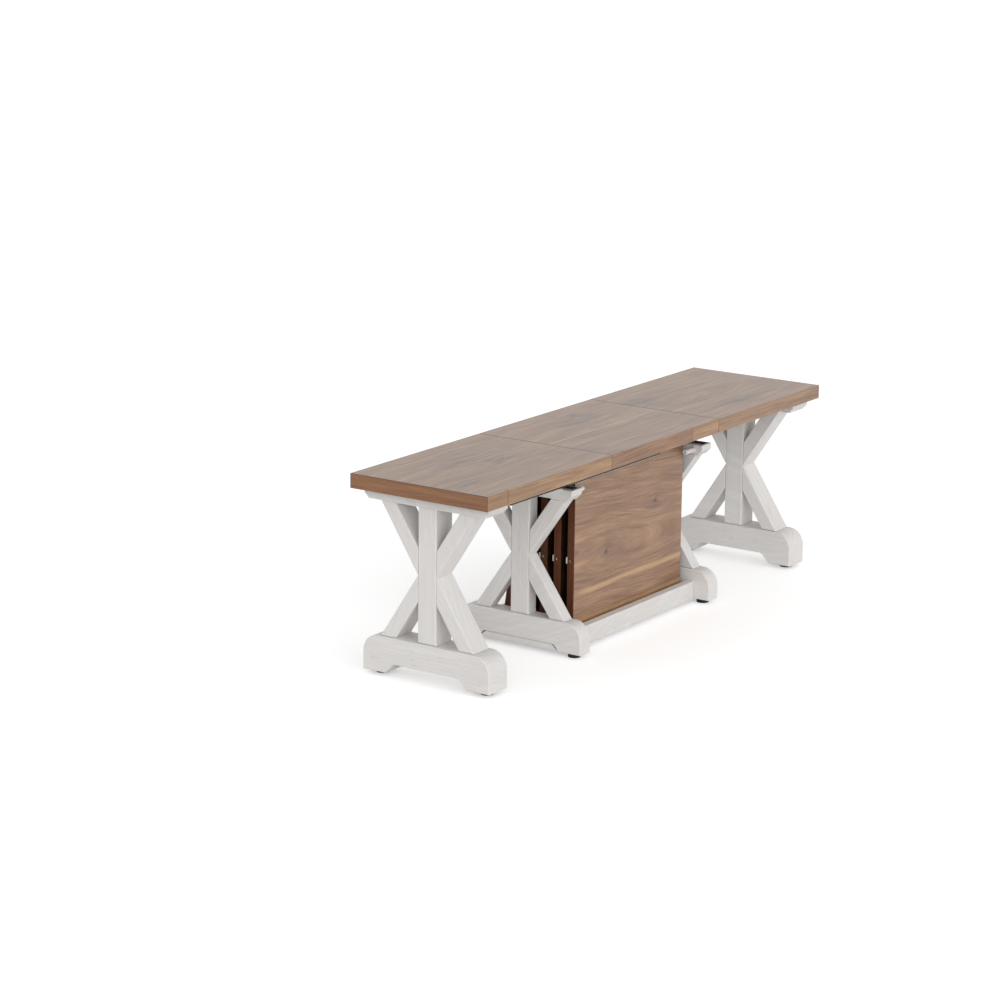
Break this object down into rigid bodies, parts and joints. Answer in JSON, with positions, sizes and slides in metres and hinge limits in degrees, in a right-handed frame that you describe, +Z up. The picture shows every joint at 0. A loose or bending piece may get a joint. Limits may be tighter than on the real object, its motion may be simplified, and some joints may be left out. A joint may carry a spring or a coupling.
{
  "type": "extending bench",
  "caption": "Extending bench with walnut seat boards on painted X-braced trestles, telescopic slides and spare seat leaves stored in a centre tray.",
  "frame": {"origin": "on the floor, below the middle of the closed seat", "axes": "+X along the bench to the right, +Y across it to the back, +Z up; the front is -Y"},
  "size_m": [1.4548, 0.364, 0.46],
  "materials": {
    "painted_wood": "white-washed satin paint with faint brushed grain",
    "walnut": "satin oiled walnut veneer",
    "black_plastic": "matte black",
    "dark_felt": "dense dark felt",
    "slide_metal": "satin grey"
  },
  "bodies": {
    "centre_frame": {"left_inner_foot": "painted_wood", "left_inner_post": "painted_wood", "left_inner_rail": "painted_wood", "left_inner_upper_brace_front": "painted_wood", "left_inner_upper_brace_back": "painted_wood", "left_inner_lower_brace_front": "painted_wood", "left_inner_lower_brace_back": "painted_wood", "left_inner_glide_front": "black_plastic", "left_inner_glide_back": "black_plastic", "right_inner_foot": "painted_wood", "right_inner_post": "painted_wood", "right_inner_rail": "painted_wood", "right_inner_upper_brace_front": "painted_wood", "right_inner_upper_brace_back": "painted_wood", "right_inner_lower_brace_front": "painted_wood", "right_inner_lower_brace_back": "painted_wood", "right_inner_glide_front": "black_plastic", "right_inner_glide_back": "black_plastic", "tray_board": "painted_wood", "front_stretcher": "painted_wood", "back_stretcher": "painted_wood", "left_wear_strip": "dark_felt", "right_wear_strip": "dark_felt", "centre_slide_front": "slide_metal", "centre_slide_back": "slide_metal"},
    "left_end": {"left_end_foot": "painted_wood", "left_end_post": "painted_wood", "left_end_rail": "painted_wood", "left_end_upper_brace_front": "painted_wood", "left_end_upper_brace_back": "painted_wood", "left_end_lower_brace_front": "painted_wood", "left_end_lower_brace_back": "painted_wood", "left_end_glide_front": "black_plastic", "left_end_glide_back": "black_plastic", "left_seat_panel": "walnut", "left_slide_front": "slide_metal", "left_slide_back": "slide_metal"},
    "right_end": {"right_end_foot": "painted_wood", "right_end_post": "painted_wood", "right_end_rail": "painted_wood", "right_end_upper_brace_front": "painted_wood", "right_end_upper_brace_back": "painted_wood", "right_end_lower_brace_front": "painted_wood", "right_end_lower_brace_back": "painted_wood", "right_end_glide_front": "black_plastic", "right_end_glide_back": "black_plastic", "right_seat_panel": "walnut", "right_slide_front": "slide_metal", "right_slide_back": "slide_metal"},
    "left_stage": {"left_link_front": "slide_metal", "left_link_back": "slide_metal"},
    "right_stage": {"right_link_front": "slide_metal", "right_link_back": "slide_metal"},
    "fitted_leaf": {"fitted_leaf": "walnut"},
    "stored_leaf_1": {"stored_leaf_1": "walnut"},
    "stored_leaf_2": {"stored_leaf_2": "walnut"},
    "stored_leaf_3": {"stored_leaf_3": "walnut"},
    "stored_leaf_4": {"stored_leaf_4": "walnut"}
  },
  "joints": [
    {"name": "left_end_pull", "type": "slide", "parent": "centre_frame", "child": "left_end", "axis": [-1, 0, 0], "range_m": [0, 0.95]},
    {"name": "right_end_pull", "type": "slide", "parent": "centre_frame", "child": "right_end", "axis": [1, 0, 0], "range_m": [0, 0.95]},
    {"name": "left_stage_pull", "type": "slide", "parent": "centre_frame", "child": "left_stage", "axis": [-1, 0, 0], "range_m": [0, 0.475]},
    {"name": "right_stage_pull", "type": "slide", "parent": "centre_frame", "child": "right_stage", "axis": [1, 0, 0], "range_m": [0, 0.475]},
    {"name": "fitted_leaf_lift", "type": "slide", "parent": "centre_frame", "child": "fitted_leaf", "axis": [0, 0, 1], "range_m": [0, 0.3]},
    {"name": "stored_leaf_1_shift", "type": "slide", "parent": "centre_frame", "child": "stored_leaf_1", "axis": [1, 0, 0], "range_m": [-0.037, 0.015]},
    {"name": "stored_leaf_2_shift", "type": "slide", "parent": "centre_frame", "child": "stored_leaf_2", "axis": [1, 0, 0], "range_m": [-0.037, 0.015]},
    {"name": "stored_leaf_3_shift", "type": "slide", "parent": "centre_frame", "child": "stored_leaf_3", "axis": [1, 0, 0], "range_m": [-0.037, 0.015]},
    {"name": "stored_leaf_4_tip", "type": "hinge", "parent": "centre_frame", "child": "stored_leaf_4", "pos_m": [-0.0195, 0.0643, 0.0252], "axis": [-1, 0, 0], "range_deg": [0, 8.5]}
  ],
  "couplings": [
    {"joint": "left_stage_pull", "follows": "left_end_pull", "ratio": 0.5},
    {"joint": "right_stage_pull", "follows": "right_end_pull", "ratio": 0.5}
  ]
}
